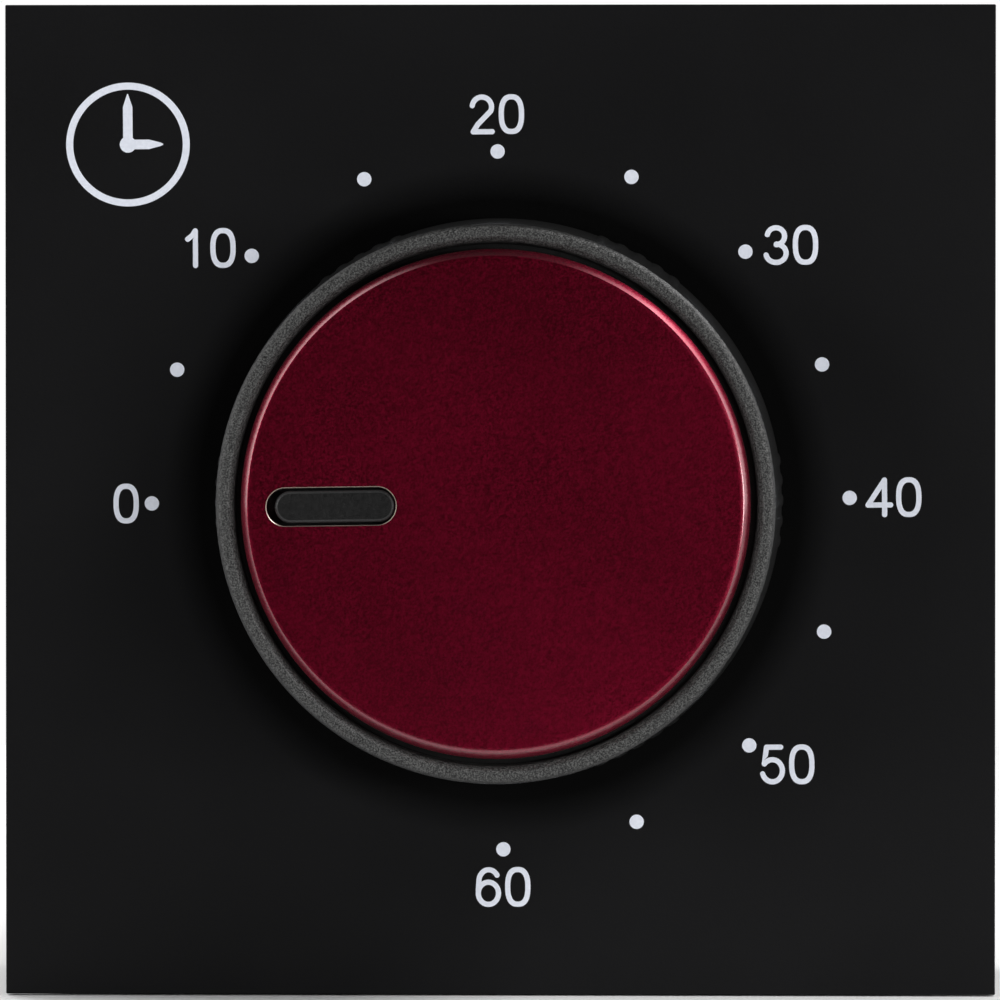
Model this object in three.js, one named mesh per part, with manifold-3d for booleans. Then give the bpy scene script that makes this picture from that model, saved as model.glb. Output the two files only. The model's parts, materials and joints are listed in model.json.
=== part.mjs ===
// A square clockwork kitchen timer: 60 minutes over 270 degrees, one knob, a wheel train and a bell.
// Millimetres, +Z up. The front plate faces -Y and the origin is the centre of the underside.
// Inside this file the parts are drawn about the knob's axis, with y = 0 on the face of the front
// plate and y growing towards the back. The group at the end moves them all to the origin above.
import * as THREE from 'three';
import { mergeVertices } from 'three/addons/utils/BufferGeometryUtils.js';
import Module from 'manifold-3d';

const wasm = await Module();
wasm.setup();

// ---- driving dimensions -------------------------------------------------------------------------
const PLATE_WIDTH = 80;
const PLATE_THICKNESS = 1.5;
const PLATE_CORNER = 0.1;
const FOOT_DROP = 0.1; // how far the feet reach below the front plate

const CASE_WIDTH = 78;
const CASE_WALL = 2;
const CASE_CORNER = 3;
const CASE_FRONT = PLATE_THICKNESS + 0.05;
const CASE_BACK = 32.2;
const COVER_FRONT = CASE_BACK + 0.05;
const COVER_BACK = 34.4;
const BOSS_PLACE = 34; // distance of a corner boss from the middle, sideways and upwards
const BOSS_RADIUS = 3.4;

const KNOB_FACE = -17.8;
const KNOB_RIM = -17.6;
const KNOB_FOOT = -0.6;
const SKIRT_RIM_RADIUS = 22.1; // the skirt widens from its rim to its foot
const SKIRT_FOOT_RADIUS = 22.75;
const RIDGE_HEIGHT = 0.13;
const SEAT_RADIUS = 20.62;
const SEAT_FLOOR = -15.8;
const CAP_RADIUS = 20.12;
const CAP_CHAMFER = 0.55;
const POINTER_TILT = THREE.MathUtils.degToRad(0.8); // the pointer's outer end sits slightly low
const SLOT = { centre: -12.98, length: 10.37, width: 3.15 };
const INSERT = { centre: -12.75, length: 9.37, width: 2.4 };

const FRAME_FRONT = 4; // front face of the front frame plate
const FRAME_BACK = 20.4; // front face of the rear frame plate
const FRAME_THICKNESS = 1;
const FRAME = { left: -26.5, right: 26.5, bottom: -30, top: 18, corner: 3 };
const PILLARS = [[-24, 15.5], [24, 15.5], [-24, -27.5], [24, -27.5]];
const MOVEMENT_SCREWS = [[-12, 8], [12, 8]];

const SHAFT_RADIUS = 3; // the main arbor in the knob and the front plate
const REAR_SHAFT_RADIUS = 2; // the main arbor from its wheel to the rear
const ARBOR_RADIUS = 0.8;
const PIVOT_RADIUS = 0.5;
const END_SHAKE = 0.2;
const RUNNING_GAP = 0.12; // radial clearance of a pivot in its hole
const FIT_GAP = 0.1; // radial clearance of a part pressed on its arbor

const WHEEL_TEETH = 48;
const PINION_LEAVES = 8;
const WHEEL_THICKNESS = 1;
const PRESSURE_ANGLE = THREE.MathUtils.degToRad(25);
const ADDENDUM = 0.7; // in modules, as are the two below
const DEDENDUM = 0.95;
const TOOTH_THINNING = 0.04; // millimetres taken from each flank
const MAIN_LAYER = 10.6; // front faces of the four wheel layers
const SECOND_LAYER = 13;
const THIRD_LAYER = 15.6;
const ESCAPE_LAYER = 18;
const PINION_OVERHANG = 0.4; // how far a pinion stands out on both sides of its wheel
const LIGHTENING_HOLES = 5;
const WHEEL_RIM = 1.6; // solid metal inside the pitch circle
const WHEEL_HUB = 0.8; // solid metal round the bore

const ESCAPE_TEETH = 15;
const ESCAPE_RADIUS = 6;
const PALLET_ANGLE = THREE.MathUtils.degToRad(54); // each pallet, from the line of the two centres
const PALLET_CLEARANCE = 0.28; // from the tooth tips, with the verge in the middle

const BELL = { x: 0, z: 14, radius: 16, rim: 24.6, crown: 29.6, wall: 0.9 };
const STRIKE_LAYER = 22;
const STRIKE_THICKNESS = 1.4;
const HAMMER = { x: 20, z: -2, headX: 18.4, headZ: 14, headRadius: 1.5 };
const TAIL = { x: 9, z: -3, radius: 0.8 };
const TRIP = { radius: 10, angle: THREE.MathUtils.degToRad(-33.5), width: 1.6 };
const SPRING = { turns: 5, stepsPerTurn: 16, inner: 3.6, outer: 10.4, strip: 0.35, front: 5.8, back: 9.8 };
const BALANCE = { front: 15.2, back: 16, reach: 6.4, weightRadius: 1.5 };

// ---- materials ----------------------------------------------------------------------------------
function look(color, roughness, metalness) {
  return new THREE.MeshStandardMaterial({ color, roughness, metalness });
}
const blackFace = look(0x17171a, 0.6, 0);
const blackPlastic = look(0x1c1c1e, 0.55, 0);
const grainPlastic = look(0x2c2c2c, 0.7, 0);
const redMetal = look(0x4a0414, 0.4, 0.8);
const steel = look(0x9a9ca0, 0.35, 1);
const brass = look(0xb08d3e, 0.35, 1);
const rubber = look(0x101010, 0.9, 0);
const magnetMetal = look(0x6f7072, 0.4, 1);

// ---- solids -------------------------------------------------------------------------------------
const signedVolume = (place, faces) => {
  const corner = (i) => new THREE.Vector3().fromArray(place, 3 * faces[i]);
  let sum = 0;
  for (let i = 0; i < faces.length; i += 3) {
    sum += corner(i).dot(corner(i + 1).cross(corner(i + 2)));
  }
  return sum / 6;
};

// A three.js geometry as a solid: shared corners merged, empty faces dropped, faces turned outwards.
function solid(geometry) {
  const bare = new THREE.BufferGeometry();
  bare.setAttribute('position', geometry.getAttribute('position'));
  bare.setIndex(geometry.index);
  const merged = mergeVertices(bare, 1e-4);
  const place = merged.getAttribute('position').array;
  let faces = [];
  for (let i = 0; i < merged.index.count; i += 3) {
    const [a, b, c] = merged.index.array.slice(i, i + 3);
    if (a !== b && b !== c && a !== c) faces.push(a, b, c);
  }
  if (signedVolume(place, faces) < 0) faces = faces.reverse();
  return new wasm.Manifold(new wasm.Mesh({
    numProp: 3,
    vertProperties: new Float32Array(place),
    triVerts: new Uint32Array(faces),
  }));
}

function join(first, ...others) {
  return others.reduce((sum, next) => sum.add(next), first);
}

function cut(first, ...others) {
  return others.reduce((sum, next) => sum.subtract(next), first);
}

function rod(radius, front, back, x = 0, z = 0, sides = 16) {
  const geometry = new THREE.CylinderGeometry(radius, radius, back - front, sides);
  return solid(geometry.translate(x, (front + back) / 2, z));
}

function cone(frontRadius, backRadius, front, back, x = 0, z = 0, sides = 16) {
  const geometry = new THREE.CylinderGeometry(backRadius, frontRadius, back - front, sides);
  return solid(geometry.translate(x, (front + back) / 2, z));
}

function block(left, right, front, back, bottom, top) {
  const geometry = new THREE.BoxGeometry(right - left, back - front, top - bottom);
  return solid(geometry.translate((left + right) / 2, (front + back) / 2, (bottom + top) / 2));
}

// An outline in the plane of the front plate, drawn as (x, z), given its depth from front to back.
function slab(shape, front, back, curveSegments = 6) {
  const options = { depth: back - front, bevelEnabled: false, curveSegments };
  const geometry = new THREE.ExtrudeGeometry(shape, options);
  return solid(geometry.rotateX(Math.PI / 2).translate(0, back, 0));
}

// A profile of [radius, y] pairs turned about the axis of the knob, or about the axis at (x, z).
function turned(profile, sides, x = 0, z = 0) {
  const points = profile.map(([radius, y]) => new THREE.Vector2(radius, y));
  return solid(new THREE.LatheGeometry(points, sides).translate(x, 0, z));
}

function roundedBox(left, right, bottom, top, corner) {
  const shape = new THREE.Shape();
  shape.moveTo(left + corner, bottom);
  shape.lineTo(right - corner, bottom);
  shape.absarc(right - corner, bottom + corner, corner, -Math.PI / 2, 0);
  shape.lineTo(right, top - corner);
  shape.absarc(right - corner, top - corner, corner, 0, Math.PI / 2);
  shape.lineTo(left + corner, top);
  shape.absarc(left + corner, top - corner, corner, Math.PI / 2, Math.PI);
  shape.lineTo(left, bottom + corner);
  shape.absarc(left + corner, bottom + corner, corner, Math.PI, 1.5 * Math.PI);
  return shape;
}

function square(width, corner) {
  return roundedBox(-width / 2, width / 2, -width / 2, width / 2, corner);
}

// A bar with round ends between two points.
function bar(x1, z1, x2, z2, radius) {
  const angle = Math.atan2(z2 - z1, x2 - x1);
  const shape = new THREE.Shape();
  shape.absarc(x2, z2, radius, angle - Math.PI / 2, angle + Math.PI / 2);
  shape.absarc(x1, z1, radius, angle + Math.PI / 2, angle + 1.5 * Math.PI);
  shape.closePath();
  return shape;
}

function pill({ centre, length, width }, tilt) {
  const reach = (length - width) / 2;
  const ends = [centre - reach, centre + reach];
  const [a, b] = ends.map((x) => [x * Math.cos(tilt), x * Math.sin(tilt)]);
  return bar(a[0], a[1], b[0], b[1], width / 2);
}

// ---- case ---------------------------------------------------------------------------------------
const signs = [[-1, 1], [1, 1], [-1, -1], [1, -1]];
const corners = signs.map(([i, k]) => [i * BOSS_PLACE, k * BOSS_PLACE]);

function frontPlate() {
  const lipOuter = CASE_WIDTH - 2 * CASE_WALL - 0.6;
  const lip = cut(
    slab(square(lipOuter, 1.2), PLATE_THICKNESS - 0.1, 3.5, 4),
    slab(square(lipOuter - 2.4, 0.6), PLATE_THICKNESS - 1, 4, 4),
  );
  const bosses = MOVEMENT_SCREWS.map(([x, z]) => rod(3, PLATE_THICKNESS - 0.1, 3.95, x, z));
  const sinks = MOVEMENT_SCREWS.map(([x, z]) => cone(2.2, 1.1, -0.01, 1.1, x, z));
  const drills = MOVEMENT_SCREWS.map(([x, z]) => rod(1.1, 1, 4.5, x, z));
  return cut(
    join(slab(square(PLATE_WIDTH, PLATE_CORNER), 0, PLATE_THICKNESS, 3), lip, ...bosses),
    rod(4.6, -1, 3, 0, 0, 24),
    ...sinks,
    ...drills,
  );
}

// A brass bearing pressed in the plate, with its flange behind it.
function plateBush() {
  return turned([
    [SHAFT_RADIUS + RUNNING_GAP, 0.1], [4.5, 0.1], [4.5, 1.55], [6, 1.55], [6, 2.6],
    [SHAFT_RADIUS + RUNNING_GAP, 2.6], [SHAFT_RADIUS + RUNNING_GAP, 0.1],
  ], 24);
}

function caseShell() {
  const outer = slab(square(CASE_WIDTH, CASE_CORNER), CASE_FRONT, CASE_BACK, 6);
  const inner = slab(square(CASE_WIDTH - 2 * CASE_WALL, CASE_CORNER - 1.5), 0, CASE_BACK + 1, 4);
  const bosses = corners.map(([x, z]) => rod(BOSS_RADIUS, 18, CASE_BACK, x, z));
  const inside = bosses.map((boss) => boss.intersect(outer));
  const drills = corners.map(([x, z]) => rod(1.1, 22, CASE_BACK + 1, x, z, 12));
  return cut(join(cut(outer, inner), ...inside), ...drills);
}

const MAGNETS = [[-20, -18], [20, -18]];
const MAGNET_RADIUS = 9;
const MAGNET_SEAT = 32.85;
const SCREW_SEAT = 33;
const SOUND_SLOTS = 5;
const SOUND_SLOT_PITCH = 5;
const SOUND_SLOT_REACH = 9; // from the middle to the centre of a slot's round end

function rearCover() {
  const slots = Array.from({ length: SOUND_SLOTS }, (_, i) => {
    const z = BELL.z + SOUND_SLOT_PITCH * (i - (SOUND_SLOTS - 1) / 2);
    return slab(bar(-SOUND_SLOT_REACH, z, SOUND_SLOT_REACH, z, 0.9), COVER_FRONT - 1, COVER_BACK + 1, 3);
  });
  const pockets = MAGNETS.map(([x, z]) => rod(MAGNET_RADIUS + 0.15, MAGNET_SEAT, COVER_BACK + 1, x, z, 24));
  const drills = corners.map(([x, z]) => rod(1.3, COVER_FRONT - 1, COVER_BACK + 1, x, z, 12));
  const sinks = corners.map(([x, z]) => rod(2.7, SCREW_SEAT, COVER_BACK + 1, x, z));
  const plate = slab(square(CASE_WIDTH, CASE_CORNER), COVER_FRONT, COVER_BACK, 6);
  return cut(plate, ...slots, ...pockets, ...drills, ...sinks);
}

function coverScrew([x, z]) {
  const headBack = COVER_BACK - 0.1;
  const head = rod(2.5, SCREW_SEAT + 0.05, headBack, x, z);
  const driveSlot = block(x - 2, x + 2, headBack - 0.5, headBack + 1, z - 0.3, z + 0.3);
  return join(cut(head, driveSlot), rod(0.95, 24, SCREW_SEAT + 0.1, x, z, 12));
}

function magnet([x, z]) {
  return rod(MAGNET_RADIUS, MAGNET_SEAT + 0.05, COVER_BACK - 0.1, x, z, 24);
}

const FOOT_PLACES = [[-28, 6.5], [28, 6.5], [-28, 28], [28, 28]];

function foot([x, y]) {
  const top = -CASE_WIDTH / 2 - 0.05;
  const bottom = -PLATE_WIDTH / 2 - FOOT_DROP;
  const pad = new THREE.CylinderGeometry(4, 3.7, top - bottom, 20);
  return solid(pad.rotateX(Math.PI / 2).translate(x, y, (top + bottom) / 2));
}

// ---- knob ---------------------------------------------------------------------------------------
const RIDGE_GROUPS = 6;
const RIDGES_PER_GROUP = 5;
const RIDGE_PITCH = THREE.MathUtils.degToRad(4.2);
const KNOB_SIDES = 48;

// A low round-backed bar that lies along the sloping side of the skirt.
function ridge(angle) {
  const halfWidth = 0.5;
  const section = [[0, KNOB_RIM + 0.8], [1, KNOB_FOOT]].map(([part, y]) => {
    const radius = THREE.MathUtils.lerp(SKIRT_RIM_RADIUS, SKIRT_FOOT_RADIUS, part);
    const heights = [[-0.4, -1], [RIDGE_HEIGHT, -0.4], [RIDGE_HEIGHT, 0.4], [-0.4, 1]];
    return heights.map(([rise, side]) => new THREE.Vector3(radius + rise, y, side * halfWidth));
  });
  const points = section.flat();
  const sides = [0, 1, 2, 3].flatMap((i) => {
    const j = (i + 1) % 4;
    return [i, j, j + 4, i, j + 4, i + 4];
  });
  const geometry = new THREE.BufferGeometry().setFromPoints(points);
  geometry.setIndex([...sides, 0, 2, 1, 0, 3, 2, 4, 5, 6, 4, 6, 7]);
  return solid(geometry.rotateY(-angle));
}

function knobBody() {
  const boreRadius = SHAFT_RADIUS + FIT_GAP;
  const body = turned([
    [0, SEAT_FLOOR], [SEAT_RADIUS, SEAT_FLOOR], [SEAT_RADIUS, KNOB_RIM + 0.6],
    [21.15, KNOB_RIM], [21.7, KNOB_RIM], [22, KNOB_RIM + 0.15], [SKIRT_RIM_RADIUS, KNOB_RIM + 0.5],
    [SKIRT_FOOT_RADIUS, KNOB_FOOT], [21.2, KNOB_FOOT], [20.6, SEAT_FLOOR + 1.6],
    [5.2, SEAT_FLOOR + 1.6], [5, -1], [boreRadius, -1], [boreRadius, SEAT_FLOOR + 1],
    [0, SEAT_FLOOR + 1],
  ], KNOB_SIDES);
  const ridges = [];
  for (let group = 0; group < RIDGE_GROUPS; group += 1) {
    for (let i = 0; i < RIDGES_PER_GROUP; i += 1) {
      const step = RIDGE_PITCH * (i - (RIDGES_PER_GROUP - 1) / 2);
      const angle = (2 * Math.PI * group) / RIDGE_GROUPS + step;
      ridges.push(ridge(angle));
    }
  }
  const ribs = [0, 1, 2].map((i) => {
    const rib = new THREE.BoxGeometry(41.4, 2.4, 1).translate(0, SEAT_FLOOR + 2.7, 0);
    return solid(rib.rotateY((i * Math.PI) / 3 + Math.PI / 6));
  });
  const shaftRoom = rod(boreRadius, SEAT_FLOOR + 1, 0, 0, 0, KNOB_SIDES);
  return join(body, ...ridges, ...ribs.map((rib) => cut(rib, shaftRoom)));
}

function knobCap() {
  const back = SEAT_FLOOR - 0.2;
  const disc = turned([
    [0, KNOB_FACE], [CAP_RADIUS - CAP_CHAMFER, KNOB_FACE], [CAP_RADIUS, KNOB_FACE + CAP_CHAMFER],
    [CAP_RADIUS, back], [0, back],
  ], 64);
  return cut(disc, slab(pill(SLOT, POINTER_TILT), KNOB_FACE - 1, back + 1, 8));
}

function pointerInsert() {
  return slab(pill(INSERT, POINTER_TILT), KNOB_FACE + 0.15, SEAT_FLOOR - 0.1, 8);
}

// The spring steel strip that presses the knob on the flat of the shaft.
function knobClip() {
  return block(-1.3, 1.3, SEAT_FLOOR + 1.5, -3, 2.08, 2.6);
}

// ---- movement frame -----------------------------------------------------------------------------
const CENTRES = { main: [0, 0] };

function meshDistance(module) {
  return (module * (WHEEL_TEETH + PINION_LEAVES)) / 2;
}

const STAGES = [
  { from: 'main', to: 'second', module: 0.45, direction: 200, layer: MAIN_LAYER },
  { from: 'second', to: 'third', module: 0.4, direction: -60, layer: SECOND_LAYER },
  { from: 'third', to: 'escape', module: 0.35, direction: -10, layer: THIRD_LAYER },
];
for (const stage of STAGES) {
  const [x, z] = CENTRES[stage.from];
  const angle = THREE.MathUtils.degToRad(stage.direction);
  const reach = meshDistance(stage.module);
  CENTRES[stage.to] = [x + reach * Math.cos(angle), z + reach * Math.sin(angle)];
}
const VERGE_DISTANCE = ESCAPE_RADIUS / Math.cos(PALLET_ANGLE);
CENTRES.verge = [CENTRES.escape[0] + VERGE_DISTANCE, CENTRES.escape[1]];
const SMALL_ARBORS = ['second', 'third', 'escape', 'verge'];

function framePlate(front, mainHole, extraHoles) {
  const back = front + FRAME_THICKNESS;
  const outline = roundedBox(FRAME.left, FRAME.right, FRAME.bottom, FRAME.top, FRAME.corner);
  const through = (radius, x, z) => rod(radius, front - 1, back + 1, x, z, 12);
  const pivots = SMALL_ARBORS.map((name) => through(PIVOT_RADIUS + RUNNING_GAP, ...CENTRES[name]));
  const pillarHoles = PILLARS.map(([x, z]) => through(1.3, x, z));
  const others = extraHoles.map(([x, z]) => through(1.1, x, z));
  const main = rod(mainHole, front - 1, back + 1, 0, 0, 24);
  return cut(slab(outline, front, back, 4), main, ...pivots, ...pillarHoles, ...others);
}

function pillar([x, z]) {
  const front = FRAME_FRONT + FRAME_THICKNESS + 0.02;
  const back = FRAME_BACK - 0.02;
  return join(rod(2, front, back, x, z), rod(1.2, FRAME_FRONT, back + 2.4, x, z, 12));
}

function pillarNut([x, z]) {
  const front = FRAME_BACK + FRAME_THICKNESS + 0.02;
  return cut(rod(2, front, front + 1.1, x, z, 6), rod(1.3, front - 1, front + 2, x, z, 12));
}

function movementScrew([x, z]) {
  return join(cone(2.05, 0.95, 0.05, 1.15, x, z), rod(0.95, 1.1, 5.6, x, z, 12));
}

// ---- wheels -------------------------------------------------------------------------------------
const involute = (angle) => Math.tan(angle) - angle;

// The outline of a wheel with involute teeth, one of them pointing at the angle `phase`.
// Each flank is one straight line between its ends, which lies inside the true curve.
function toothedOutline(teeth, module, phase) {
  const pitchRadius = (module * teeth) / 2;
  const baseRadius = pitchRadius * Math.cos(PRESSURE_ANGLE);
  const tip = pitchRadius + ADDENDUM * module;
  const root = pitchRadius - DEDENDUM * module;
  const halfTooth = Math.PI / (2 * teeth) - TOOTH_THINNING / pitchRadius;
  const flankStart = Math.max(root, baseRadius);
  const flank = [flankStart, tip].map((radius) => {
    const angle = Math.acos(Math.min(1, baseRadius / radius));
    return [radius, halfTooth + involute(PRESSURE_ANGLE) - involute(angle)];
  });
  if (root < flankStart) flank.unshift([root, flank[0][1]]);
  const points = [];
  for (let tooth = 0; tooth < teeth; tooth += 1) {
    const middle = phase + (2 * Math.PI * tooth) / teeth;
    const side = (sign) => ([radius, half]) => new THREE.Vector2(
      radius * Math.cos(middle + sign * half),
      radius * Math.sin(middle + sign * half),
    );
    points.push(...flank.map(side(-1)), ...flank.map(side(1)).reverse());
  }
  return new THREE.Shape(points);
}

function roundHole(x, z, radius) {
  return new THREE.Path().absarc(x, z, radius, 0, 2 * Math.PI, true);
}

// A wheel with a bore and lightening holes, standing on its arbor at `name`.
function wheel(name, module, front, bore) {
  const shape = toothedOutline(WHEEL_TEETH, module, 0);
  const web = [bore + WHEEL_HUB, (module * WHEEL_TEETH) / 2 - WHEEL_RIM];
  const middle = (web[0] + web[1]) / 2;
  const holeRadius = Math.min((web[1] - web[0]) / 2, 0.5 * middle);
  for (let i = 0; i < LIGHTENING_HOLES; i += 1) {
    const angle = (2 * Math.PI * (i + 0.25)) / LIGHTENING_HOLES;
    shape.holes.push(roundHole(middle * Math.cos(angle), middle * Math.sin(angle), holeRadius));
  }
  shape.holes.push(roundHole(0, 0, bore));
  const [x, z] = CENTRES[name];
  return slab(shape, front, front + WHEEL_THICKNESS, 6).translate([x, 0, z]);
}

// A steel arbor between the frame plates with its pivots, and a pinion cut on it where one is asked.
function arbor(name, pinion) {
  const [x, z] = CENTRES[name];
  const front = FRAME_FRONT + FRAME_THICKNESS + END_SHAKE;
  const back = FRAME_BACK - END_SHAKE;
  const pivots = rod(PIVOT_RADIUS, FRAME_FRONT - 0.1, FRAME_BACK + FRAME_THICKNESS + 0.1, x, z, 12);
  const shaft = join(rod(ARBOR_RADIUS, front, back, x, z, 12), pivots);
  if (!pinion) return shaft;
  const leaves = toothedOutline(PINION_LEAVES, pinion.module, pinion.phase);
  return join(shaft, slab(leaves, pinion.front, pinion.back, 4).translate([x, 0, z]));
}

// The angle at which a driven pinion shows a gap to the tooth of the wheel that drives it.
function meshPhase(stage) {
  const direction = THREE.MathUtils.degToRad(stage.direction);
  const teethPast = -direction / ((2 * Math.PI) / WHEEL_TEETH);
  return direction + Math.PI + ((2 * Math.PI) / PINION_LEAVES) * (0.5 - teethPast);
}

// Each stage's wheel, and the arbor with the pinion that it drives.
function train() {
  const parts = {};
  for (const stage of STAGES) {
    const shaft = stage.from === 'main' ? REAR_SHAFT_RADIUS : ARBOR_RADIUS;
    parts[`${stage.from}_wheel`] = wheel(stage.from, stage.module, stage.layer, shaft + FIT_GAP);
    parts[`${stage.to}_arbor`] = arbor(stage.to, {
      module: stage.module,
      phase: meshPhase(stage),
      front: stage.layer - PINION_OVERHANG,
      back: stage.layer + WHEEL_THICKNESS + PINION_OVERHANG,
    });
  }
  return parts;
}

function escapeWheel() {
  const pitch = (2 * Math.PI) / ESCAPE_TEETH;
  const [x, z] = CENTRES.escape;
  const polar = (radius, angle) => new THREE.Vector2(radius * Math.cos(angle), radius * Math.sin(angle));
  const points = [];
  for (let i = 0; i < ESCAPE_TEETH; i += 1) {
    const tip = pitch * (i + 0.5);
    points.push(
      polar(ESCAPE_RADIUS - 1.5, tip - 0.18 * pitch),
      polar(ESCAPE_RADIUS, tip - 0.035 * pitch),
      polar(ESCAPE_RADIUS, tip + 0.035 * pitch),
      polar(ESCAPE_RADIUS - 1.5, tip + 0.18 * pitch),
    );
  }
  const shape = new THREE.Shape(points);
  shape.holes.push(roundHole(0, 0, ARBOR_RADIUS + FIT_GAP));
  return slab(shape, ESCAPE_LAYER, ESCAPE_LAYER + WHEEL_THICKNESS, 5).translate([x, 0, z]);
}

// The rocking lever of the escapement. Its two pallets dip between the teeth in turn.
function vergeAnchor() {
  const [x, z] = CENTRES.escape;
  const place = (radius, angle, side) => new THREE.Vector2(
    radius * Math.cos(angle),
    side * radius * Math.sin(angle),
  );
  const half = 0.18 / ESCAPE_RADIUS;
  const tip = ESCAPE_RADIUS + PALLET_CLEARANCE;
  const arms = [1, -1].map((side) => {
    const shape = new THREE.Shape([
      place(tip, PALLET_ANGLE - half, side),
      place(tip, PALLET_ANGLE + half, side),
      place(tip + 2.1, PALLET_ANGLE + 2 * half, side),
      new THREE.Vector2(VERGE_DISTANCE, side * 1.2),
      new THREE.Vector2(VERGE_DISTANCE - 1.2, side * 0.5),
      place(tip + 0.9, PALLET_ANGLE - half, side),
    ]);
    return slab(shape, ESCAPE_LAYER, ESCAPE_LAYER + 1).translate([x, 0, z]);
  });
  const [vx, vz] = CENTRES.verge;
  const hub = rod(1.7, ESCAPE_LAYER, ESCAPE_LAYER + 1, vx, vz);
  return cut(join(hub, ...arms), rod(ARBOR_RADIUS + FIT_GAP, 17, 20, vx, vz, 16));
}

// The weighted bar that sets the beat of the verge.
function balanceBar() {
  const [x, z] = CENTRES.verge;
  const { front, back, reach, weightRadius } = BALANCE;
  const arm = slab(bar(x, z - reach, x, z + reach, 0.7), front, back, 4);
  const weights = [-reach, reach].map((rise) => rod(weightRadius, front, back + 0.8, x, z + rise));
  const hub = rod(1.7, front, back, x, z);
  return cut(join(arm, hub, ...weights), rod(ARBOR_RADIUS + FIT_GAP, 14, 18, x, z, 16));
}

// The knob's shaft: a flat for the knob, a collar behind the main wheel and a rear pivot.
function mainArbor() {
  const shaft = rod(SHAFT_RADIUS, SEAT_FLOOR + 1.2, 10.2, 0, 0, 24);
  const flat = block(-4, 4, -20, -1.6, 2, 5);
  const collar = rod(4.6, 12.1, 12.6, 0, 0, 24);
  const rear = rod(REAR_SHAFT_RADIUS, 10, STRIKE_LAYER + STRIKE_THICKNESS + 0.2, 0, 0, 24);
  return join(cut(shaft, flat), collar, rear);
}

// The sprung washer that lets the knob slip past the train while it is wound.
function clutchWasher() {
  const inner = REAR_SHAFT_RADIUS + FIT_GAP;
  return turned([
    [inner, 11.65], [5.2, 11.7], [5.2, 11.9], [inner, 12.05], [inner, 11.65],
  ], 24);
}

// The flat spiral spring, drawn as a strip whose two edges follow the same spiral.
function mainspring() {
  const steps = SPRING.turns * SPRING.stepsPerTurn;
  const edge = (offset) => Array.from({ length: steps + 1 }, (_, i) => {
    const radius = THREE.MathUtils.lerp(SPRING.inner, SPRING.outer, i / steps) + offset;
    const angle = (2 * Math.PI * i) / SPRING.stepsPerTurn;
    return new THREE.Vector2(radius * Math.cos(angle), radius * Math.sin(angle));
  });
  return slab(new THREE.Shape([...edge(0), ...edge(SPRING.strip).reverse()]), SPRING.front, SPRING.back);
}

// ---- bell and hammer ----------------------------------------------------------------------------
function bellGong() {
  const { radius, rim, crown, wall } = BELL;
  const curve = 4;
  const arc = (r, top) => [0, 1, 2, 3, 4].map((step) => {
    const angle = (Math.PI / 2) * (step / 4);
    return [r - curve + curve * Math.cos(angle), top - curve + curve * Math.sin(angle)];
  });
  const inner = arc(radius - wall, crown - wall).reverse();
  return turned([
    [radius, rim], ...arc(radius, crown), [1.5, crown],
    [1.5, crown - wall], ...inner, [radius - wall, rim], [radius, rim],
  ], 36, BELL.x, BELL.z);
}

function bellPost() {
  const foundation = FRAME_BACK + FRAME_THICKNESS + 0.02;
  const shoulder = BELL.crown - BELL.wall - 0.05;
  const stem = rod(1, FRAME_BACK, foundation + 1, BELL.x, BELL.z, 16);
  const tapped = rod(0.8, 26, shoulder + 1, BELL.x, BELL.z, 16);
  return cut(join(rod(2.2, foundation, shoulder, BELL.x, BELL.z), stem), tapped);
}

function bellScrew() {
  const front = BELL.crown + 0.05;
  const head = rod(2.6, front, front + 1.2, BELL.x, BELL.z);
  const driveSlot = block(-2, 2, front + 0.7, front + 2, BELL.z - 0.3, BELL.z + 0.3);
  return join(cut(head, driveSlot), rod(0.7, 26.5, front + 0.1, BELL.x, BELL.z, 16));
}

function hammerPost() {
  const foundation = FRAME_BACK + FRAME_THICKNESS + 0.02;
  const { x, z } = HAMMER;
  const stem = rod(1, FRAME_BACK, foundation + 1, x, z, 16);
  const seat = rod(2, foundation, STRIKE_LAYER - 0.15, x, z);
  return join(stem, seat, rod(1.2, foundation, 25.6, x, z, 16), rod(1.9, 25, 25.6, x, z));
}

function hammerLever() {
  const [front, back] = [STRIKE_LAYER, STRIKE_LAYER + STRIKE_THICKNESS];
  const { x, z, headX, headZ } = HAMMER;
  const arm = slab(bar(x, z, headX, headZ, 0.9), front, back, 4);
  const tail = slab(bar(x, z, TAIL.x, TAIL.z, TAIL.radius), front, back, 4);
  const hub = rod(2.5, front, back, x, z);
  const drills = [rod(1.35, front - 1, back + 1, x, z, 16), rod(0.6, front - 1, back + 1, headX, headZ, 12)];
  return cut(join(arm, tail, hub), ...drills);
}

function hammerHead() {
  const { headX, headZ, headRadius } = HAMMER;
  const front = STRIKE_LAYER + STRIKE_THICKNESS + 0.05;
  return join(
    rod(headRadius, front, front + 3.6, headX, headZ),
    rod(0.5, STRIKE_LAYER - 0.2, front + 0.2, headX, headZ, 12),
  );
}

// A wound wire spring round the hammer post, with one leg that rests against the case side.
function hammerSpring() {
  const { x, z } = HAMMER;
  const [front, back] = [23.7, 24.7];
  const coil = cut(rod(2, front, back, x, z), rod(1.45, front - 1, back + 1, x, z));
  return join(coil, slab(bar(x + 1.7, z, x + 3.6, z - 6, 0.25), front, back, 3));
}

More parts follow.
